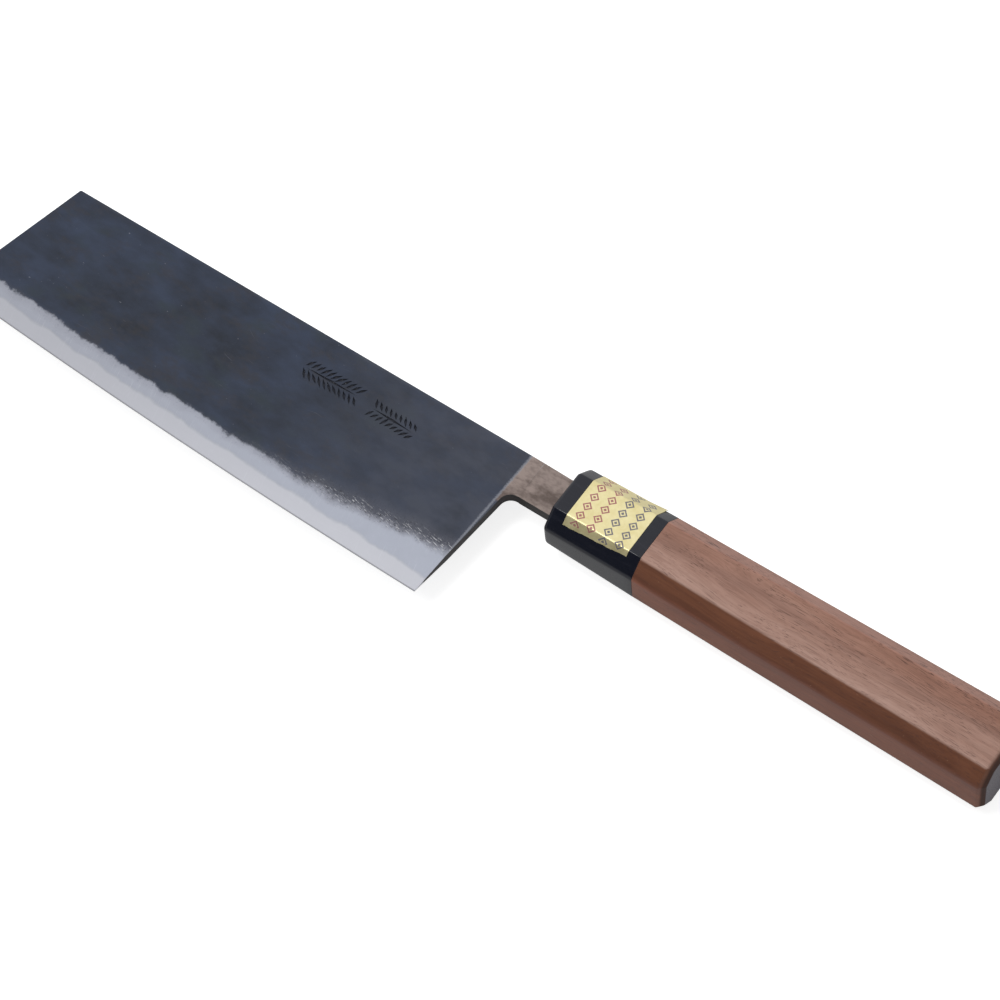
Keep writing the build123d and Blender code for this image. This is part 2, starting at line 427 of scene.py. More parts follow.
turned = stretched(groundSteel, start["Vector"], (1, 1, 1), (0, 0, math.radians(78)))
fineLines = useGroup(groundSteel, scratches, turned, Length=7.0, Width=0.10, Amount=0.55)
crossed = stretched(groundSteel, start["Vector"], (1, 1, 1), (0, 0, math.radians(-9)))
longLines = useGroup(groundSteel, scratches, crossed, Length=16.0, Width=0.16, Amount=0.42)
tone = mixColor(groundSteel, calc(groundSteel, "MULTIPLY", fineLines["Mask"], 0.35), tone, groundFinish["scratchLight"])
tone = mixColor(groundSteel, calc(groundSteel, "MULTIPLY", longLines["Mask"], 0.25), tone, groundFinish["scratchLight"])
lip = spread(groundSteel, start["EdgeRise"], 0.42, 0.22)
tone = mixColor(groundSteel, calc(groundSteel, "MULTIPLY", lip, 0.7), tone, groundFinish["lineDark"])
join(groundSteel, tone, end["Color"])
rough = calc(groundSteel, "MULTIPLY_ADD", clouds, 0.12, groundFinish["roughness"] - 0.06)
join(groundSteel, calc(groundSteel, "SUBTRACT", rough, calc(groundSteel, "MULTIPLY", nearEdge, 0.06)), end["Roughness"])
join(groundSteel, calc(groundSteel, "ADD", fineLines["Height"], longLines["Height"]), end["Height"])

print("shared effects are built")


# Finishes

# Scale tones: the rear colour is a painted reflection, the wall colours are painted shade, and the rim colour is bare
# steel that also carries a painted highlight on the edges
scaleFinish = {
    "dark": linear(25, 30, 40), "blue": linear(49, 58, 77), "brown": linear(49, 46, 47), "green": linear(40, 49, 53),
    "rearReflection": linear(64, 68, 80), "smoke": linear(98, 98, 106), "speck": linear(34, 34, 38), "chip": linear(205, 206, 210),
    "neck": linear(146, 132, 126), "neckDark": linear(96, 84, 79), "rim": linear(168, 171, 180),
    "wear": linear(86, 90, 100), "wall": linear(20, 20, 24), "neckWallShade": linear(26, 22, 21),
}


def forgedIron():
    material, tree, shader = newMaterial("forgedIron")
    finish = scaleFinish
    local = knifeCoords(tree)
    place = useGroup(tree, bladeSpot, local, Wander=4.2)
    patches = useGroup(tree, mottle, stretched(tree, local, (0.55, 1, 1), (0, 0, 0.25)), Size=22.0, Contrast=3.4)["Value"]
    small = useGroup(tree, mottle, stretched(tree, local, (0.6, 1, 1), (0, 0, 2.9)), Size=7.0, Contrast=2.6)["Value"]
    grit = cloud(tree, local, 2.6, 3.0, 0.7)

    tone = mixColor(tree, patches, finish["dark"], finish["blue"])
    tone = mixColor(tree, calc(tree, "MULTIPLY", spread(tree, small, 0.45, 0.9), 0.45), tone, finish["brown"])
    other = cloud(tree, stretched(tree, local, (1, 1.6, 1), (0, 0, 0.7)), 0.07, 3.0, 0.6)
    tone = mixColor(tree, calc(tree, "MULTIPLY", spread(tree, other, 0.52, 0.72), 0.5), tone, finish["green"])
    tone = mixColor(tree, calc(tree, "MULTIPLY", spread(tree, grit, 0.56, 0.75), 0.12), tone, finish["wear"])
    bent = put(tree, "ShaderNodeVectorMath", {0: put(tree, "ShaderNodeTexNoise", {"Vector": local, "Scale": 0.05}).outputs["Color"], 1: (9, 9, 9), 2: local},
               operation="MULTIPLY_ADD").outputs[0]
    swirl = useGroup(tree, scratches, stretched(tree, bent, (1, 1, 1), (0, 0, 0.12)), Length=18.0, Width=0.30, Amount=0.42)
    swirls = calc(tree, "MULTIPLY", swirl["Mask"], spread(tree, small, 0.4, 0.8, 0.10, 0.50))
    tone = mixColor(tree, swirls, tone, finish["wear"])

    dust = spread(tree, cloud(tree, stretched(tree, local, (0.6, 1, 1)), 1.3, 2.0), 0.735, 0.79)
    tone = mixColor(tree, calc(tree, "MULTIPLY", dust, 0.22), tone, finish["rim"])

    # Grey smoke, specks and bright chips where the scale meets the bevel
    parts = put(tree, "ShaderNodeSeparateXYZ", {0: local}).outputs
    heelward = spread(tree, parts[0], -100.0, -42.0)
    # Lighter bluish patches toward the heel: painted reflection on the scale
    rearReflectionMask = calc(tree, "MULTIPLY", spread(tree, parts[0], -95.0, -22.0), spread(tree, other, 0.35, 0.6, 0.35, 0.75))
    tone = mixColor(tree, rearReflectionMask, tone, finish["rearReflection"])
    ragged = calc(tree, "MULTIPLY_ADD", heelward, 1.5, 1.2)
    edgeNoise = calc(tree, "MULTIPLY", calc(tree, "SUBTRACT", cloud(tree, local, 1.1, 4.0, 0.7), 0.5), ragged)
    rise = calc(tree, "ADD", place["ScaleRise"], edgeNoise)
    onScale = spread(tree, rise, calc(tree, "MULTIPLY_ADD", heelward, -0.7, -0.55), calc(tree, "MULTIPLY_ADD", heelward, 0.7, 0.55))
    reachUp = calc(tree, "MULTIPLY_ADD", heelward, 5.0, 1.4)
    smoke = calc(tree, "MULTIPLY", spread(tree, place["ScaleRise"], -2.6, -0.1), spread(tree, place["ScaleRise"], reachUp, 0.0))
    smoke = calc(tree, "MULTIPLY", smoke, calc(tree, "MULTIPLY_ADD", heelward, 0.72, 0.28))
    ground = useGroup(tree, groundSteel, local, EdgeRise=place["EdgeRise"])
    bare = mixColor(tree, calc(tree, "MULTIPLY", smoke, 0.62), ground["Color"], finish["smoke"])
    hazed = mixColor(tree, calc(tree, "MULTIPLY", smoke, calc(tree, "MULTIPLY_ADD", grit, 0.6, 0.08)), tone, finish["smoke"])
    tone = mixColor(tree, onScale, bare, hazed)
    specks = calc(tree, "MULTIPLY", spread(tree, cloud(tree, local, 1.9, 2.0, 0.5), 0.62, 0.68), smoke)
    tone = mixColor(tree, calc(tree, "MULTIPLY", specks, 0.75), tone, finish["speck"])
    chips = useGroup(tree, scratches, stretched(tree, local, (1, 1, 1), (0, 0, 0.22)), Length=1.5, Width=0.19, Amount=0.66)
    chipBand = calc(tree, "MULTIPLY", smoke, spread(tree, place["ScaleRise"], 3.4, 0.8))
    chipMask = calc(tree, "MULTIPLY", calc(tree, "MULTIPLY", chips["Mask"], chipBand), calc(tree, "MULTIPLY_ADD", heelward, 0.55, 0.15))
    tone = mixColor(tree, chipMask, tone, finish["chip"])

    # Neck and tang, scraped clean of scale
    neckEdge = calc(tree, "ADD", place["NeckRun"], calc(tree, "MULTIPLY", calc(tree, "SUBTRACT", grit, 0.5), 1.1))
    aboveHeel = spread(tree, parts[1], -10.6, -9.4)
    onNeck = calc(tree, "MULTIPLY", spread(tree, neckEdge, -0.25, 0.35), aboveHeel)
    neckTone = mixColor(tree, spread(tree, small, 0.2, 0.85), finish["neckDark"], finish["neck"])
    tone = mixColor(tree, onNeck, tone, neckTone)
    neckRim = calc(tree, "MULTIPLY", spread(tree, neckEdge, -0.7, -0.1), spread(tree, neckEdge, 0.5, 0.0))
    tone = mixColor(tree, calc(tree, "MULTIPLY", neckRim, 0.35), tone, finish["rim"])
    # The walls are painted darker than the faces beside them: painted shade on the sides, over the scale's own black;
    # on the scraped neck the dark walls are painted shade alone
    wall = attribute(tree, "wall")
    tone = mixColor(tree, wall, tone, mixColor(tree, onNeck, finish["wall"], finish["neckWallShade"]))
    rim = attribute(tree, "rim")
    # Bright steel on the softened edges: scale rubbed off by wear, partly a painted highlight, kept to the spine and
    # the front where the edge catches the light
    shown = calc(tree, "MAXIMUM", spread(tree, parts[1], 2.0, 5.0), spread(tree, parts[0], -160.0, -168.0))
    rim = calc(tree, "MULTIPLY", rim, calc(tree, "MULTIPLY_ADD", shown, 0.8, 0.2))
    wornAndHighlight = calc(tree, "MULTIPLY", rim, spread(tree, cloud(tree, local, 0.5, 3.0), 0.35, 0.6, 0.25, 0.95))
    tone = mixColor(tree, wornAndHighlight, tone, finish["rim"])
    join(tree, tone, shader.inputs["Base Color"])

    covered = calc(tree, "MULTIPLY", onScale, calc(tree, "SUBTRACT", 1.0, onNeck))
    shiny = mixValue(tree, covered, calc(tree, "MULTIPLY_ADD", onNeck, -0.35, 0.92), 0.25)
    join(tree, calc(tree, "MULTIPLY", shiny, calc(tree, "MULTIPLY_ADD", wall, -0.8, 1.0)), shader.inputs["Metallic"])
    scaleRough = calc(tree, "MULTIPLY_ADD", patches, 0.16, 0.40)
    join(tree, mixValue(tree, covered, calc(tree, "ADD", ground["Roughness"], calc(tree, "MULTIPLY", onNeck, 0.08)), scaleRough),
         shader.inputs["Roughness"])
    shader.inputs["Specular IOR Level"].default_value = 0.4
    skin = calc(tree, "ADD", calc(tree, "MULTIPLY", grit, 0.35), calc(tree, "MULTIPLY", small, 1.0))
    height = mixValue(tree, covered, calc(tree, "MULTIPLY", ground["Height"], 0.12), skin)
    join(tree, bump(tree, height, 0.35, 0.00012), shader.inputs["Normal"])
    return material


def edgeSteel():
    material, tree, shader = newMaterial("edgeSteel")
    local = knifeCoords(tree)
    place = useGroup(tree, bladeSpot, local, Wander=0.0)
    ground = useGroup(tree, groundSteel, local, EdgeRise=place["EdgeRise"])
    parts = put(tree, "ShaderNodeSeparateXYZ", {0: local}).outputs
    inner = spread(tree, place["EdgeRise"], 3.4, 3.9)       # the layer's own edge, round the outline
    dull = mixColor(tree, useGroup(tree, mottle, local, Size=3.0, Contrast=2.0)["Value"], linear(44, 40, 42), linear(84, 78, 78))
    join(tree, mixColor(tree, inner, ground["Color"], dull), shader.inputs["Base Color"])
    join(tree, mixValue(tree, inner, ground["Roughness"], 0.5), shader.inputs["Roughness"])
    shader.inputs["Metallic"].default_value = 0.92
    join(tree, bump(tree, ground["Height"], 0.25, 0.00002), shader.inputs["Normal"])
    return material


def chiselDark():
    material, tree, shader = newMaterial("chiselDark")
    local = knifeCoords(tree)
    # The carved strokes are coloured near-black with a mottle, darker than the scale around them
    markMottle = useGroup(tree, mottle, local, Size=0.8, Contrast=2.5)["Value"]
    tone = mixColor(tree, markMottle, linear(13, 14, 19), linear(38, 41, 52))
    glint = spread(tree, cloud(tree, local, 2.2, 2.0), 0.66, 0.72)
    join(tree, mixColor(tree, calc(tree, "MULTIPLY", glint, 0.6), tone, linear(150, 152, 160)), shader.inputs["Base Color"])
    join(tree, mixValue(tree, glint, 0.6, 0.35), shader.inputs["Roughness"])
    join(tree, bump(tree, markMottle, 0.4, 0.00004), shader.inputs["Normal"])
    return material


hornFinish = {"deep": linear(13, 16, 27), "streak": linear(25, 27, 37), "roughness": 0.20}


def blackHorn():
    material, tree, shader = newMaterial("blackHorn")
    local = knifeCoords(tree)
    fibre = cloud(tree, stretched(tree, local, (0.05, 0.5, 0.5)), 1.0, 4.0, 0.6, 0.4)
    join(tree, mixColor(tree, spread(tree, fibre, 0.5, 0.8), hornFinish["deep"], hornFinish["streak"]), shader.inputs["Base Color"])
    haze = useGroup(tree, mottle, local, Size=5.0, Contrast=1.6)["Value"]
    marks = useGroup(tree, scratches, stretched(tree, local, (1, 1, 1), (0, 0.6, 0.25)), Length=6.0, Width=0.12, Amount=0.4)
    rough = calc(tree, "MULTIPLY_ADD", haze, 0.10, hornFinish["roughness"])
    join(tree, calc(tree, "ADD", rough, calc(tree, "MULTIPLY", marks["Mask"], 0.14)), shader.inputs["Roughness"])
    shader.inputs["Specular IOR Level"].default_value = 0.42
    join(tree, bump(tree, calc(tree, "ADD", haze, calc(tree, "MULTIPLY", marks["Height"], 0.05)), 0.10, 0.00006), shader.inputs["Normal"])
    return material


# Long grain with pores, for walnut and for the dowel
woodGrain, start, end = newGroup("woodGrain", [("Band", 2.6), ("Pore", 0.32)],
                                 [("Band", "NodeSocketFloat"), ("Fine", "NodeSocketFloat"), ("Pore", "NodeSocketFloat")])
sway = put(woodGrain, "ShaderNodeTexNoise", {"Vector": stretched(woodGrain, start["Vector"], (0.02, 0.09, 0.09)), "Scale": 1.0, "Detail": 2.0})
offset = put(woodGrain, "ShaderNodeVectorMath", {0: sway.outputs["Color"], 1: (0.0, 9.0, 9.0), 2: start["Vector"]}, operation="MULTIPLY_ADD").outputs[0]
parts = put(woodGrain, "ShaderNodeSeparateXYZ", {0: offset}).outputs
layers = calc(woodGrain, "ADD", calc(woodGrain, "MULTIPLY", parts[1], 0.9), calc(woodGrain, "MULTIPLY", parts[2], 0.55))
ringLane = put(woodGrain, "ShaderNodeCombineXYZ", {0: calc(woodGrain, "MULTIPLY", parts[0], 0.006), 1: calc(woodGrain, "DIVIDE", layers, start["Band"])}).outputs[0]
join(woodGrain, cloud(woodGrain, ringLane, 1.0, 3.0, 0.55), end["Band"])
join(woodGrain, cloud(woodGrain, stretched(woodGrain, offset, (0.025, 1.3, 1.3)), 1.0, 4.0, 0.65), end["Fine"])
poreLane = put(woodGrain, "ShaderNodeCombineXYZ", {0: calc(woodGrain, "MULTIPLY", parts[0], 0.20),
                                                   1: calc(woodGrain, "DIVIDE", parts[1], start["Pore"]),
                                                   2: calc(woodGrain, "DIVIDE", parts[2], start["Pore"])}).outputs[0]
join(woodGrain, spread(woodGrain, cloud(woodGrain, poreLane, 1.0, 1.0, 0.5), 0.585, 0.66), end["Pore"])

# Walnut tones: the near and far colours carry a painted sheen, the low colours are painted light on the lower side
# facet, the back colour is painted light on the far slanted facet, and the band colour is painted shade on the butt's
# chamfer
walnutFinish = {
    "nearSheenLight": linear(178, 148, 136), "nearSheenDark": linear(158, 124, 110),
    "farSheenLight": linear(156, 118, 102), "farSheenDark": linear(134, 94, 78),
    "sideLight": linear(124, 77, 51), "sideDark": linear(82, 45, 28), "litLowLight": linear(148, 92, 69), "litLowDark": linear(110, 63, 45),
    "heart": linear(120, 90, 80), "backFacetLit": linear(172, 130, 116), "pore": linear(66, 40, 32), "fleck": linear(176, 140, 116),
    "endLight": linear(116, 112, 120), "endDark": linear(84, 78, 83), "band": linear(50, 31, 24),
}


def walnut():
    material, tree, shader = newMaterial("walnut")
    finish = walnutFinish
    local = knifeCoords(tree)
    grain = useGroup(tree, woodGrain, stretched(tree, local, (1, 1, 1), (0, 0, math.radians(1.6))), Band=7.0, Pore=0.20)
    parts = put(tree, "ShaderNodeSeparateXYZ", {0: local}).outputs
    depth = calc(tree, "SUBTRACT", calc(tree, "MULTIPLY_ADD", parts[0], 0.0068, 9.66), calc(tree, "ABSOLUTE", parts[2]))
    broad = spread(tree, depth, 0.75, 0.20)                 # the two wide facets are painted paler: painted sheen
    bands = spread(tree, grain["Band"], 0.25, 0.75)
    side = mixColor(tree, bands, finish["sideDark"], finish["sideLight"])
    # The lower side facet gets a lighter, redder copy of the side colours: painted light
    low = mixColor(tree, bands, finish["litLowDark"], finish["litLowLight"])
    side = mixColor(tree, spread(tree, depth, 3.6, 5.4), side, low)
    # Across the wide facets the side toward the edge is painted lighter and greyer than the spine side: painted sheen
    drift = calc(tree, "MULTIPLY_ADD", cloud(tree, stretched(tree, local, (0.02, 0.1, 0.1)), 1.0, 2.0), 9.0, -4.5)
    farSide = spread(tree, calc(tree, "ADD", parts[1], drift), -6.5, 7.5)
    near = mixColor(tree, bands, finish["nearSheenDark"], finish["nearSheenLight"])
    far = mixColor(tree, bands, finish["farSheenDark"], finish["farSheenLight"])
    wide = mixColor(tree, farSide, near, far)
    # The far slanted facet is painted lighter: painted light
    facetLine = calc(tree, "MULTIPLY_ADD", parts[0], 0.0127, 6.08)
    backFacet = spread(tree, calc(tree, "SUBTRACT", parts[1], facetLine), -0.6, 0.0)
    heart = calc(tree, "MULTIPLY", spread(tree, farSide, 0.30, 0.50), spread(tree, farSide, 0.80, 0.55))
    wide = mixColor(tree, calc(tree, "MULTIPLY", heart, 0.30), wide, finish["heart"])
    wide = mixColor(tree, calc(tree, "MULTIPLY", backFacet, 0.75), wide, finish["backFacetLit"])
    tone = mixColor(tree, calc(tree, "MAXIMUM", broad, backFacet), side, wide)
    darker = mixColor(tree, spread(tree, grain["Fine"], 0.30, 0.66), linear(222, 216, 212), (1, 1, 1, 1))
    tone = mixColor(tree, 0.75, tone, darker, "MULTIPLY")
    cloudy = useGroup(tree, mottle, stretched(tree, local, (0.35, 1, 1)), Size=8.0, Contrast=2.2)["Value"]
    tone = mixColor(tree, 0.8, tone, mixColor(tree, cloudy, linear(226, 216, 212), (1, 1, 1, 1)), "MULTIPLY")
    crowded = spread(tree, cloud(tree, stretched(tree, local, (0.03, 0.30, 0.30)), 1.0, 2.0), 0.38, 0.58, 0.25, 1.0)
    pores = calc(tree, "MULTIPLY", calc(tree, "MULTIPLY", grain["Pore"], crowded), calc(tree, "MULTIPLY_ADD", farSide, 0.4, 0.5))
    tone = mixColor(tree, pores, tone, finish["pore"])
    flecks = spread(tree, cloud(tree, stretched(tree, local, (0.9, 3.2, 3.2)), 1.0, 2.0), 0.72, 0.77)
    tone = mixColor(tree, calc(tree, "MULTIPLY", flecks, calc(tree, "MULTIPLY_ADD", broad, -0.4, 0.5)), tone, finish["fleck"])
    # A dark band on the butt's chamfer: painted shade
    shadedChamfer = spread(tree, parts[0], 137.8, 138.5)
    face = spread(tree, parts[0], 139.08, 139.18)
    tone = mixColor(tree, calc(tree, "MULTIPLY", shadedChamfer, 0.88), tone, finish["band"])
    endCloud = cloud(tree, stretched(tree, local, (0, 2.4, 2.4)), 1.0, 3.0, 0.7)
    endGrain = mixColor(tree, spread(tree, endCloud, 0.35, 0.62), finish["endDark"], finish["endLight"])
    tone = mixColor(tree, face, tone, endGrain)
    join(tree, tone, shader.inputs["Base Color"])
    rough = calc(tree, "MULTIPLY_ADD", grain["Fine"], 0.20, 0.40)
    rough = calc(tree, "ADD", rough, calc(tree, "MULTIPLY", shadedChamfer, calc(tree, "MULTIPLY_ADD", face, -0.35, 0.35)))
    join(tree, rough, shader.inputs["Roughness"])
    shader.inputs["Specular IOR Level"].default_value = 0.4
    shader.inputs["Coat Weight"].default_value = 0.08
    shader.inputs["Coat Roughness"].default_value = 0.34
    height = calc(tree, "SUBTRACT", calc(tree, "MULTIPLY", grain["Fine"], 0.4), pores)
    join(tree, bump(tree, height, 0.25, 0.00005), shader.inputs["Normal"])
    return material


def dowelWood():
    material, tree, shader = newMaterial("dowelWood")
    local = knifeCoords(tree)
    grain = useGroup(tree, woodGrain, local, Band=1.6, Pore=0.4)
    tone = mixColor(tree, grain["Band"], linear(186, 152, 110), linear(224, 196, 154))
    tone = mixColor(tree, calc(tree, "MULTIPLY", grain["Pore"], 0.3), tone, linear(150, 112, 76))
    join(tree, tone, shader.inputs["Base Color"])
    join(tree, calc(tree, "MULTIPLY_ADD", grain["Fine"], 0.2, 0.6), shader.inputs["Roughness"])
    join(tree, bump(tree, grain["Fine"], 0.3, 0.00008), shader.inputs["Normal"])
    return material


def darkResin():
    material, tree, shader = newMaterial("darkResin")
    local = knifeCoords(tree)
    swirl = useGroup(tree, mottle, local, Size=1.6, Contrast=2.4)["Value"]
    join(tree, mixColor(tree, swirl, linear(30, 31, 29), linear(78, 84, 74)), shader.inputs["Base Color"])
    join(tree, calc(tree, "MULTIPLY_ADD", swirl, 0.2, 0.25), shader.inputs["Roughness"])
    join(tree, bump(tree, swirl, 0.5, 0.00015), shader.inputs["Normal"])
    return material


foilFinish = {
    "gold": linear(240, 231, 186), "goldDeep": linear(219, 205, 148), "plum": linear(142, 52, 84), "navy": linear(56, 60, 100),
    "firstColumn": 2.6, "columnGap": 4.6, "columnHalf": 1.55, "rowPitch": 3.3, "rowHalf": 1.5,
}


# Printed columns of small lozenges between thin rules, in the label's own UV millimetres
def goldFoil():
    material, tree, shader = newMaterial("goldFoil")
    finish = foilFinish
    sheet = put(tree, "ShaderNodeUVMap", uv_map="foil").outputs[0]
    parts = put(tree, "ShaderNodeSeparateXYZ", {0: sheet}).outputs
    run = calc(tree, "DIVIDE", calc(tree, "SUBTRACT", parts[0], finish["firstColumn"] - finish["columnGap"] / 2 + 0.6), finish["columnGap"])
    column = calc(tree, "FLOOR", run)
    fromMiddle = calc(tree, "MULTIPLY", calc(tree, "ABSOLUTE", calc(tree, "SUBTRACT", calc(tree, "FRACT", run), 0.5)), finish["columnGap"])
    rowPart = calc(tree, "FRACT", calc(tree, "ADD", calc(tree, "DIVIDE", parts[1], finish["rowPitch"]), calc(tree, "MULTIPLY", column, 0.5)))
    fromRow = calc(tree, "MULTIPLY", calc(tree, "ABSOLUTE", calc(tree, "SUBTRACT", rowPart, 0.5)), finish["rowPitch"])
    lozenge = calc(tree, "ADD", calc(tree, "DIVIDE", fromMiddle, finish["columnHalf"]), calc(tree, "DIVIDE", fromRow, finish["rowHalf"]))
    ring = calc(tree, "MULTIPLY", spread(tree, lozenge, 1.03, 0.96), spread(tree, lozenge, 0.60, 0.67))
    heart = spread(tree, lozenge, 0.36, 0.29)
    ink = calc(tree, "MAXIMUM", ring, heart)
    inside = calc(tree, "MULTIPLY", spread(tree, parts[0], 0.45, 0.6), spread(tree, parts[0], 19.7, 19.5))
    inside = calc(tree, "MULTIPLY", inside, calc(tree, "MULTIPLY", spread(tree, parts[1], 1.3, 1.5), spread(tree, parts[1], 21.8, 21.5)))
    patchy = spread(tree, cloud(tree, knifeCoords(tree), 2.4, 3.0, 0.7), 0.30, 0.45, 0.55, 1.0)
    ink = calc(tree, "MULTIPLY", calc(tree, "MULTIPLY", ink, inside), patchy)
    rear = spread(tree, column, 1.4, 1.6)
    printed = mixColor(tree, rear, finish["plum"], finish["navy"])
    sheen = useGroup(tree, mottle, knifeCoords(tree), Size=4.0, Contrast=2.0)["Value"]
    gold = mixColor(tree, sheen, finish["goldDeep"], finish["gold"])
    join(tree, mixColor(tree, calc(tree, "MULTIPLY", ink, 0.85), gold, printed), shader.inputs["Base Color"])
    join(tree, calc(tree, "MULTIPLY_ADD", ink, -0.55, 0.95), shader.inputs["Metallic"])
    join(tree, calc(tree, "MULTIPLY_ADD", sheen, 0.12, 0.36), shader.inputs["Roughness"])
    crinkle = cloud(tree, knifeCoords(tree), 0.9, 4.0, 0.6)
    join(tree, bump(tree, crinkle, 0.30, 0.00012), shader.inputs["Normal"])
    return material


ironSkin = forgedIron()
markSkin = chiselDark()
hornSkin = blackHorn()
walnutSkin = walnut()
foilSkin = goldFoil()
print("finishes are built")


# Blade: a finer copy of the cladding with softened outer edges and a hand-forged skin

bladeBuild = {"softEdge": 0.32, "cell": 1.5, "unevenFlat": 0.05, "unevenBevel": 0.015, "keepFromMouth": 1.5}


def forgedSide(name, node, sign):
    build = bladeBuild
    bm = bmesh.new()
    bm.from_mesh(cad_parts[node].data)
    bmesh.ops.remove_doubles(bm, verts=bm.verts, dist=1e-6)
    bmesh.ops.dissolve_limit(bm, angle_limit=math.radians(0.3), verts=bm.verts, edges=bm.edges)
    rim = bm.faces.layers.float.new("rim")
    # The wall attribute marks the blade's walls, which the iron finish paints in shade
    wall = bm.faces.layers.float.new("wall")
    for face in bm.faces:
        face[wall] = 1.0 if abs(face.normal.z) < 0.3 else 0.0
    limitX = mouthX - build["keepFromMouth"] * mm
    edges = []
    for edge in bm.edges:
        if len(edge.link_faces) != 2:
            continue
        tilt = sorted(abs(face.normal.z) for face in edge.link_faces)
        heights = [(v.co.z - axisZ) * sign / mm for v in edge.verts]
        if tilt[0] < 0.3 and tilt[1] > 0.8 and min(heights) > 0.85 and max(v.co.x for v in edge.verts) < limitX:
            edges.append(edge)
    # The softened edges get the rim attribute, which the iron finish paints bright as wear and a painted highlight
    made = bmesh.ops.bevel(bm, geom=edges, offset=build["softEdge"] * mm, segments=2, profile=0.6, affect="EDGES", clamp_overlap=True)
    for face in made["faces"]:
        face[rim] = 1.0
        face[wall] = 0.0
    for axis, low, high in ((0, coreLow.x, mouthX), (1, coreLow.y, coreHigh.y)):
        count = int((high - low) / (build["cell"] * mm))
        for index in range(1, count):
            point, normal = Vector((0, 0, 0)), Vector((0, 0, 0))
            point[axis] = low + (high - low) * index / count
            normal[axis] = 1
            bmesh.ops.bisect_plane(bm, geom=bm.verts[:] + bm.edges[:] + bm.faces[:], dist=1e-7, plane_co=point, plane_no=normal)
    bm.normal_update()
    for vert in bm.verts:
        if vert.co.x > limitX or (vert.co.z - axisZ) * sign < 0.5 * mm:
            continue
        if all(abs(face.normal.z) > 0.9 for face in vert.link_faces):
            rise = arcRadius - math.hypot((vert.co.x - mouthX) / mm - centreX, (vert.co.y - axisY) / mm - centreY)
            depth = build["unevenFlat"] if rise > 14 else build["unevenBevel"]
            bumpy = 0.5 + 0.5 * noise.fractal(vert.co * 90 + Vector((0, 0, 7 * sign)), 0.8, 2.0, 3)
            vert.co.z -= sign * depth * mm * max(0.0, min(1.0, bumpy))
    bmesh.ops.triangulate(bm, faces=[face for face in bm.faces if len(face.verts) > 4])
    mesh = bpy.data.meshes.new(name)
    bm.to_mesh(mesh)
    bm.free()
    mesh.materials.append(ironSkin)
    return newPiece(name, mesh)


bladeLeft = forgedSide("bladeLeft", "cladding_left", 1)
bladeRight = forgedSide("bladeRight", "cladding_right", -1)
print("blade sides", len(bladeLeft.data.polygons), len(bladeRight.data.polygons))


# Chiselled sprigs: short wedge strokes in pairs beside a stem, made by Geometry Nodes

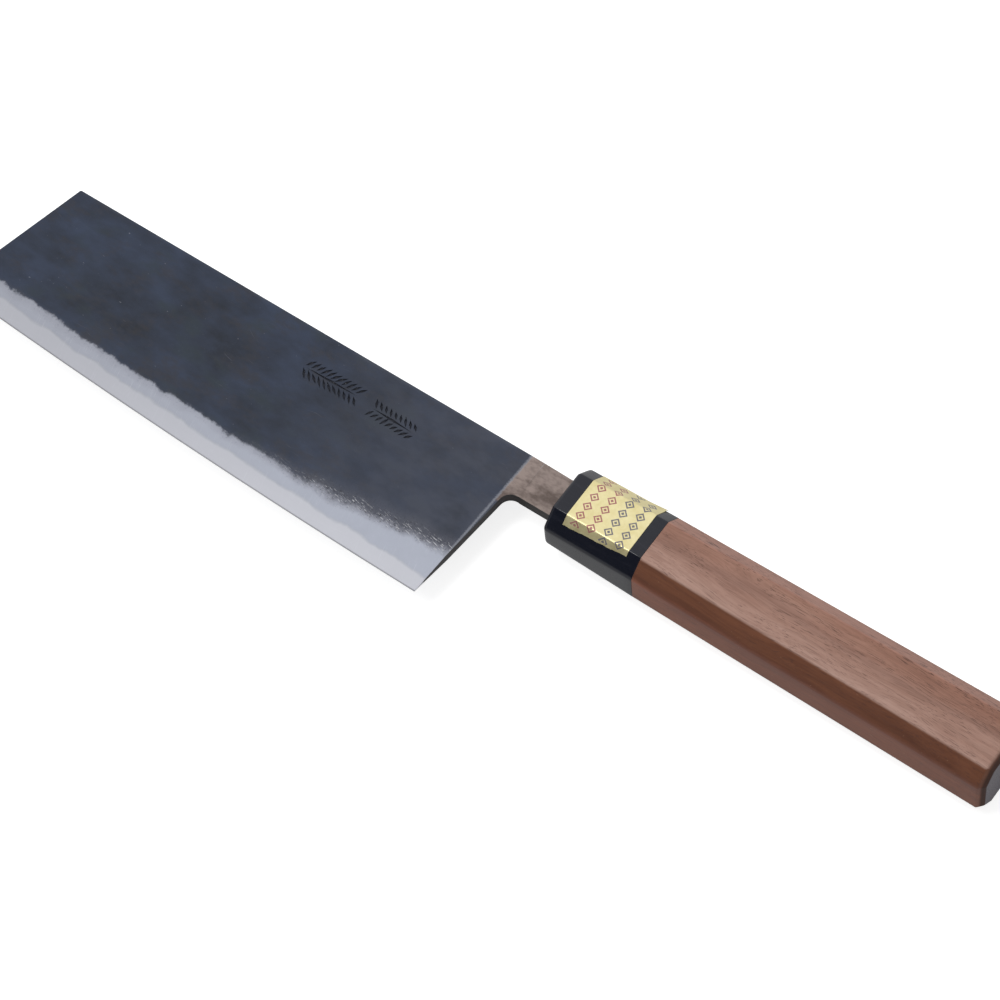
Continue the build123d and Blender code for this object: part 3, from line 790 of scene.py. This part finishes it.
def sprigTree():
    tree = bpy.data.node_groups.new("chiselSprig", "GeometryNodeTree")
    face = tree.interface
    face.new_socket("Geometry", in_out="INPUT", socket_type="NodeSocketGeometry")
    for label, kind, value in (("Pairs", "NodeSocketInt", 8), ("Pitch", "NodeSocketFloat", 0.002), ("Stroke", "NodeSocketFloat", 0.003),
                               ("Width", "NodeSocketFloat", 0.0006), ("Depth", "NodeSocketFloat", 0.0004),
                               ("Slant", "NodeSocketFloat", 0.7), ("Spread", "NodeSocketFloat", 0.0016), ("Seed", "NodeSocketInt", 3)):
        face.new_socket(label, in_out="INPUT", socket_type=kind).default_value = value
    face.new_socket("Ink", in_out="INPUT", socket_type="NodeSocketMaterial")
    face.new_socket("Geometry", in_out="OUTPUT", socket_type="NodeSocketGeometry")
    given = put(tree, "NodeGroupInput").outputs
    wedge = put(tree, "GeometryNodeMeshUVSphere", {"Segments": 4, "Rings": 3, "Radius": 0.5}).outputs["Mesh"]
    joined = put(tree, "GeometryNodeJoinGeometry")
    for side in (-1, 1):
        stepBy = put(tree, "ShaderNodeCombineXYZ", {0: given["Pitch"]}).outputs[0]
        firstY = calc(tree, "MULTIPLY", given["Spread"], side)
        startAt = put(tree, "ShaderNodeCombineXYZ", {1: firstY}).outputs[0]
        line = put(tree, "GeometryNodeMeshLine", {"Count": given["Pairs"], "Start Location": startAt, "Offset": stepBy}, mode="OFFSET")
        jitter = put(tree, "FunctionNodeRandomValue", {"Min": -0.16, "Max": 0.16, "Seed": calc(tree, "ADD", given["Seed"], 5 + side)})
        jitter.data_type = "FLOAT"
        grow = put(tree, "FunctionNodeRandomValue", {"Min": 0.78, "Max": 1.12, "Seed": calc(tree, "ADD", given["Seed"], 11 + side)})
        grow.data_type = "FLOAT"
        angle = calc(tree, "ADD", calc(tree, "MULTIPLY", given["Slant"], side), jitter.outputs[1])
        spin = put(tree, "ShaderNodeCombineXYZ", {2: angle}).outputs[0]
        size = put(tree, "ShaderNodeCombineXYZ", {0: calc(tree, "MULTIPLY", given["Stroke"], grow.outputs[1]), 1: given["Width"], 2: given["Depth"]}).outputs[0]
        placed = put(tree, "GeometryNodeInstanceOnPoints", {"Points": line.outputs[0], "Instance": wedge, "Rotation": spin, "Scale": size})
        tree.links.new(placed.outputs[0], joined.inputs[0])
    stemLength = calc(tree, "MULTIPLY", given["Pitch"], given["Pairs"])
    stemSize = put(tree, "ShaderNodeCombineXYZ", {0: calc(tree, "MULTIPLY", stemLength, 1.05), 1: calc(tree, "MULTIPLY", given["Width"], 0.8), 2: given["Depth"]}).outputs[0]
    stemAt = put(tree, "ShaderNodeCombineXYZ", {0: calc(tree, "MULTIPLY", stemLength, 0.44)}).outputs[0]
    single = put(tree, "GeometryNodeMeshLine", {"Count": 1, "Start Location": stemAt}, mode="OFFSET")
    stem = put(tree, "GeometryNodeInstanceOnPoints", {"Points": single.outputs[0], "Instance": wedge, "Scale": stemSize})
    tree.links.new(stem.outputs[0], joined.inputs[0])
    real = put(tree, "GeometryNodeRealizeInstances", {"Geometry": joined.outputs[0]})
    inked = put(tree, "GeometryNodeSetMaterial", {"Geometry": real.outputs[0], "Material": given["Ink"]})
    last = put(tree, "NodeGroupOutput")
    tree.links.new(inked.outputs[0], last.inputs["Geometry"])
    return tree


sprigs = [
    {"at": (-82.9, -5.0), "turned": 0.02, "Pairs": 11, "Pitch": 0.00168, "Stroke": 0.0042, "Width": 0.00098,
     "Depth": 0.00070, "Slant": 0.85, "Spread": 0.00185, "Seed": 4},
    {"at": (-60.4, -5.4), "turned": -0.02, "Pairs": 9, "Pitch": 0.00165, "Stroke": 0.0036, "Width": 0.00100,
     "Depth": 0.00070, "Slant": -0.95, "Spread": 0.00170, "Seed": 9},
]

sprigNodes = sprigTree()
for index, sprig in enumerate(sprigs):
    cutter = newPiece("sprigCutter", bpy.data.meshes.new("sprigCutter"))
    change = cutter.modifiers.new("sprig", "NODES")
    change.node_group = sprigNodes
    for item in sprigNodes.interface.items_tree:
        if item.item_type == "SOCKET" and item.in_out == "INPUT" and item.name in sprig:
            change[item.identifier] = sprig[item.name]
        if item.item_type == "SOCKET" and item.in_out == "INPUT" and item.name == "Ink":
            change[item.identifier] = markSkin
    settle(cutter)
    here = spot(sprig["at"][0], sprig["at"][1], 0)
    middle = spot(sprig["at"][0] + 9, sprig["at"][1], 0)
    hit, point, normal, face = bladeLeft.ray_cast(Vector((middle.x, middle.y, 0.05)), Vector((0, 0, -1)))
    lay = Matrix.Translation((here.x, here.y, point.z)) @ Matrix.Rotation(sprig["turned"], 4, "Z")
    cutter.data.transform(lay)
    carve(bladeLeft, cutter)
print("sprigs are carved", len(bladeLeft.data.polygons), [m.name for m in bladeLeft.data.materials])

for piece, node in ((bladeLeft, "cladding_left"), (bladeRight, "cladding_right")):
    smooth(piece, 22)
    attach(piece, "root")
    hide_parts(node)


# Handle and ferrule: octagons with slightly crowned, planed facets

octagonSizes = {
    "mouth": (0.0, 22.2, 17.6, 5.0), "joint": (29.0, 22.7, 19.7, 4.9), "butt": (139.2, 24.7, 21.2, 4.5),
    "softCorner": 0.7, "softSide": 2.0, "crown": 0.07, "facetSteps": 8, "cornerSteps": 5,
}


def sizesAt(x):
    mouth, joint, butt = (octagonSizes[key] for key in ("mouth", "joint", "butt"))
    low, high = (mouth, joint) if x <= joint[0] else (joint, butt)
    share = (x - low[0]) / (high[0] - low[0])
    return [a + (b - a) * share for a, b in zip(low[1:], high[1:])]


# Points round the octagon, from the corner between the top facet and the slanted facet on the edge side
def octagonRing(x, grow=0.0):
    height, width, leg = sizesAt(x)
    up, out = height / 2 + grow, width / 2 + grow
    leg += grow * (2 - math.sqrt(2))
    softs = [max(0.25, octagonSizes["softSide" if index in (2, 3, 6, 7) else "softCorner"] + grow) for index in range(8)]
    corners = [(leg - up, out), (up - leg, out), (up, out - leg), (up, leg - out),
               (up - leg, -out), (leg - up, -out), (-up, leg - out), (-up, out - leg)]
    corners = [Vector(corner) for corner in corners]
    ring = []
    trims = [soft * math.tan(math.radians(22.5)) for soft in softs]
    for index, corner in enumerate(corners):
        soft, trim = softs[index], trims[index]
        before = (corners[index - 1] - corner).normalized()
        after = (corners[(index + 1) % 8] - corner).normalized()
        middleDir = (before + after).normalized()
        centre = corner + middleDir * (soft / math.cos(math.radians(22.5)))
        first = (corner + before * trim - centre).normalized()
        last = (corner + after * trim - centre).normalized()
        for stepIndex in range(octagonSizes["cornerSteps"] + 1):
            share = stepIndex / octagonSizes["cornerSteps"]
            way = (first * (1 - share) + last * share).normalized()
            ring.append(centre + way * (soft - octagonSizes["crown"] * 0.5))
        nextCorner = corners[(index + 1) % 8]
        begin, finish = corner + after * trim, nextCorner - after * trims[(index + 1) % 8]
        inward = Vector((-after.y, after.x))
        if inward.dot(corner) > 0:
            inward = -inward
        for stepIndex in range(1, octagonSizes["facetSteps"]):
            share = stepIndex / octagonSizes["facetSteps"]
            sag = octagonSizes["crown"] * 0.5 * (2 * share - 1) ** 2
            ring.append(begin.lerp(finish, share) + inward * sag)
    return ring


# A closed bar through (x, inset) stations, with the skin worked slightly uneven
def facetedBar(name, stations, capInsets, uneven):
    points, faces, size = [], [], None
    for x, inset in stations:
        ring = octagonRing(x, -inset)
        size = len(ring)
        for y, z in ring:
            wander = noise.fractal(Vector((x * 0.03, y * 0.16, z * 0.16)), 0.9, 2.0, 2)
            share = 1 - uneven * (0.5 + 0.5 * max(-1.0, min(1.0, wander))) / 11
            points.append((x, y * share, z * share))
    for level in range(len(stations) - 1):
        for index in range(size):
            other = (index + 1) % size
            a, b = level * size, (level + 1) * size
            faces.append((a + index, b + index, b + other, a + other))
    for base, x, flip in ((0, stations[0][0], False), ((len(stations) - 1) * size, stations[-1][0], True)):
        ringStart = base
        source = points[base:base + size]
        for inset in capInsets:
            scale = 1 - inset
            ringBase = len(points)
            points.extend((x, y * scale, z * scale) for _, y, z in source)
            for index in range(size):
                other = (index + 1) % size
                quad = (ringStart + index, ringStart + other, ringBase + other, ringBase + index)
                faces.append(quad[::-1] if flip else quad)
            ringStart = ringBase
        points.append((x, 0, 0))
        centre = len(points) - 1
        for index in range(size):
            other = (index + 1) % size
            tri = (ringStart + index, ringStart + other, centre)
            faces.append(tri[::-1] if flip else tri)
    mesh = meshFrom(name, points, faces)
    bm = bmesh.new()
    bm.from_mesh(mesh)
    bmesh.ops.recalc_face_normals(bm, faces=bm.faces)
    bm.to_mesh(mesh)
    bm.free()
    return newPiece(name, mesh)


def roundedRim(x, radius, direction, steps=5):
    spots = []
    for index in range(steps + 1):
        angle = math.pi / 2 * index / steps
        spots.append((x + direction * radius * (1 - math.sin(angle)), radius * (1 - math.cos(angle))))
    return spots if direction < 0 else spots[::-1]


# Bar with rounded narrow sides, to cut slots and mortises
def slotCutter(start, stop, height, width, middle=0.0):
    half, straight = width / 2, (height - width) / 2
    outline = []
    for sign in (1, -1):
        for index in range(13):
            angle = math.pi * index / 12
            outline.append((middle + sign * (straight + half * math.sin(angle)), sign * half * math.cos(angle)))
    count = len(outline)
    points = [(x, y, z) for x in (start, stop) for y, z in outline]
    faces = [tuple(range(count))[::-1], tuple(range(count, 2 * count))]
    faces += [(i, (i + 1) % count, count + (i + 1) % count, count + i) for i in range(count)]
    mesh = meshFrom("slotCutter", points, faces)
    bm = bmesh.new()
    bm.from_mesh(mesh)
    bmesh.ops.recalc_face_normals(bm, faces=bm.faces)
    bm.to_mesh(mesh)
    bm.free()
    return newPiece("slotCutter", mesh)


ferruleBuild = {"rim": 1.3, "jointRim": 0.12, "wall": 5.0, "sealHeight": 14.0, "sealWidth": 5.6, "sealMiddle": 0.1,
                "boreHeight": 15.8, "boreWidth": 9.8, "uneven": 0.03}
handleBuild = {"jointRim": 0.14, "band": 1.8, "boreEnd": 70.0, "uneven": 0.06}

jointAt, buttAt = octagonSizes["joint"][0], octagonSizes["butt"][0]
ferruleStations = roundedRim(0.0, ferruleBuild["rim"], 1)
ferruleStations += [(x, 0.0) for x in (3, 6, 10, 14, 18, 22, 26)]
ferruleStations += roundedRim(jointAt, ferruleBuild["jointRim"], -1, 3)
horn = facetedBar("hornFerrule", ferruleStations, (0.06, 0.3, 0.6), ferruleBuild["uneven"])
horn.data.materials.append(hornSkin)
carve(horn, slotCutter(-2, ferruleBuild["wall"] + 1, ferruleBuild["sealHeight"], ferruleBuild["sealWidth"], ferruleBuild["sealMiddle"]))
carve(horn, slotCutter(ferruleBuild["wall"], jointAt + 2, ferruleBuild["boreHeight"], ferruleBuild["boreWidth"]))

band = handleBuild["band"]
handleStations = roundedRim(jointAt, handleBuild["jointRim"], 1, 3)
handleStations += [(jointAt + 3.5 * index, 0.0) for index in range(1, 31)]
handleStations += [(buttAt - band - 0.3, 0.0), (buttAt - band - 0.12, 0.03), (buttAt - band + 0.08, 0.14), (buttAt - band + 0.3, 0.34),
                   (buttAt - 0.42, band - 0.42), (buttAt - 0.2, band - 0.16), (buttAt - 0.06, band + 0.12), (buttAt, band + 0.42)]
wood = facetedBar("walnutHandle", handleStations, (0.1, 0.35, 0.65), handleBuild["uneven"])
wood.data.materials.append(walnutSkin)
carve(wood, slotCutter(jointAt - 2, handleBuild["boreEnd"], ferruleBuild["boreHeight"], ferruleBuild["boreWidth"]))

for piece, node, slot in ((horn, "ferrule", "black_horn"), (wood, "handle_body", "walnut")):
    smooth(piece, 30)
    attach(piece, "root")
    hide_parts(node)
print("ferrule and handle", len(horn.data.polygons), len(wood.data.polygons))


# Foil label, laid round the upper facets, slightly askew

labelBuild = {"start": 5.0, "length": 20.2, "nearFront": 2.9, "nearRear": 1.6, "far": 1.2, "steps": 40, "rows": 96,
              "gap": 0.10, "crease": 0.012, "liftCorner": 0.45}


def walk(ring, distance):
    count = len(ring)
    index, step = 0, 1 if distance >= 0 else -1
    left = abs(distance)
    while True:
        here, there = ring[index % count], ring[(index + step) % count]
        span = (there - here).length
        if left <= span:
            return here.lerp(there, left / span)
        left -= span
        index += step


def foilLabel():
    build = labelBuild
    points, faces, sheet = [], [], []
    columns, rows = build["steps"], build["rows"]
    for i in range(columns + 1):
        u = i / columns
        x = build["start"] + build["length"] * u
        ring = octagonRing(x, build["gap"])
        height, width, leg = sizesAt(x)
        start = -(build["nearFront"] + (build["nearRear"] - build["nearFront"]) * u) + 0.18 * noise.noise(Vector((x * 0.7, 1.5, 0)))
        stop = (height - 2 * leg) + leg * math.sqrt(2) + build["far"] + 0.12 * noise.noise(Vector((x * 0.5, 7.5, 0)))
        for j in range(rows + 1):
            v = j / rows
            distance = start + (stop - start) * v
            flat = walk(ring, distance)
            lift = build["crease"] * noise.fractal(Vector((x * 0.35, distance * 0.35, 3)), 0.8, 2.0, 3)
            lift += build["liftCorner"] * max(0.0, u - 0.72) / 0.28 * max(0.0, v - 0.86) / 0.14
            flat = flat * (1 + lift / flat.length)
            points.append((x, flat.x, flat.y))
            sheet.append((x - build["start"], distance + 3.0))
    for i in range(columns):
        for j in range(rows):
            a, b = i * (rows + 1) + j, (i + 1) * (rows + 1) + j
            faces.append((a, a + 1, b + 1, b))
    mesh = meshFrom("foilLabel", points, faces)
    uv = mesh.uv_layers.new(name="foil")
    for loop in mesh.loops:
        uv.data[loop.index].uv = sheet[loop.vertex_index]
    bm = bmesh.new()
    bm.from_mesh(mesh)
    bm.normal_update()
    if sum(face.normal.z for face in bm.faces) < 0:
        bmesh.ops.reverse_faces(bm, faces=bm.faces)
    bm.to_mesh(mesh)
    bm.free()
    mesh.materials.append(foilSkin)
    piece = newPiece("foilLabel", mesh)
    thick = piece.modifiers.new("thick", "SOLIDIFY")
    thick.thickness = 0.07 * mm
    thick.offset = -1
    settle(piece)
    smooth(piece, 40)
    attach(piece, "root")
    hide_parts("label")
    return piece


label = foilLabel()
print("label", len(label.data.polygons))


# CAD nodes that keep their own shape

def dress(node, skin):
    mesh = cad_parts[node].data
    mesh.materials.clear()
    mesh.materials.append(skin)


dress("core_steel", edgeSteel())
dress("mouth_seal", darkResin())
dress("tang_dowel", dowelWood())
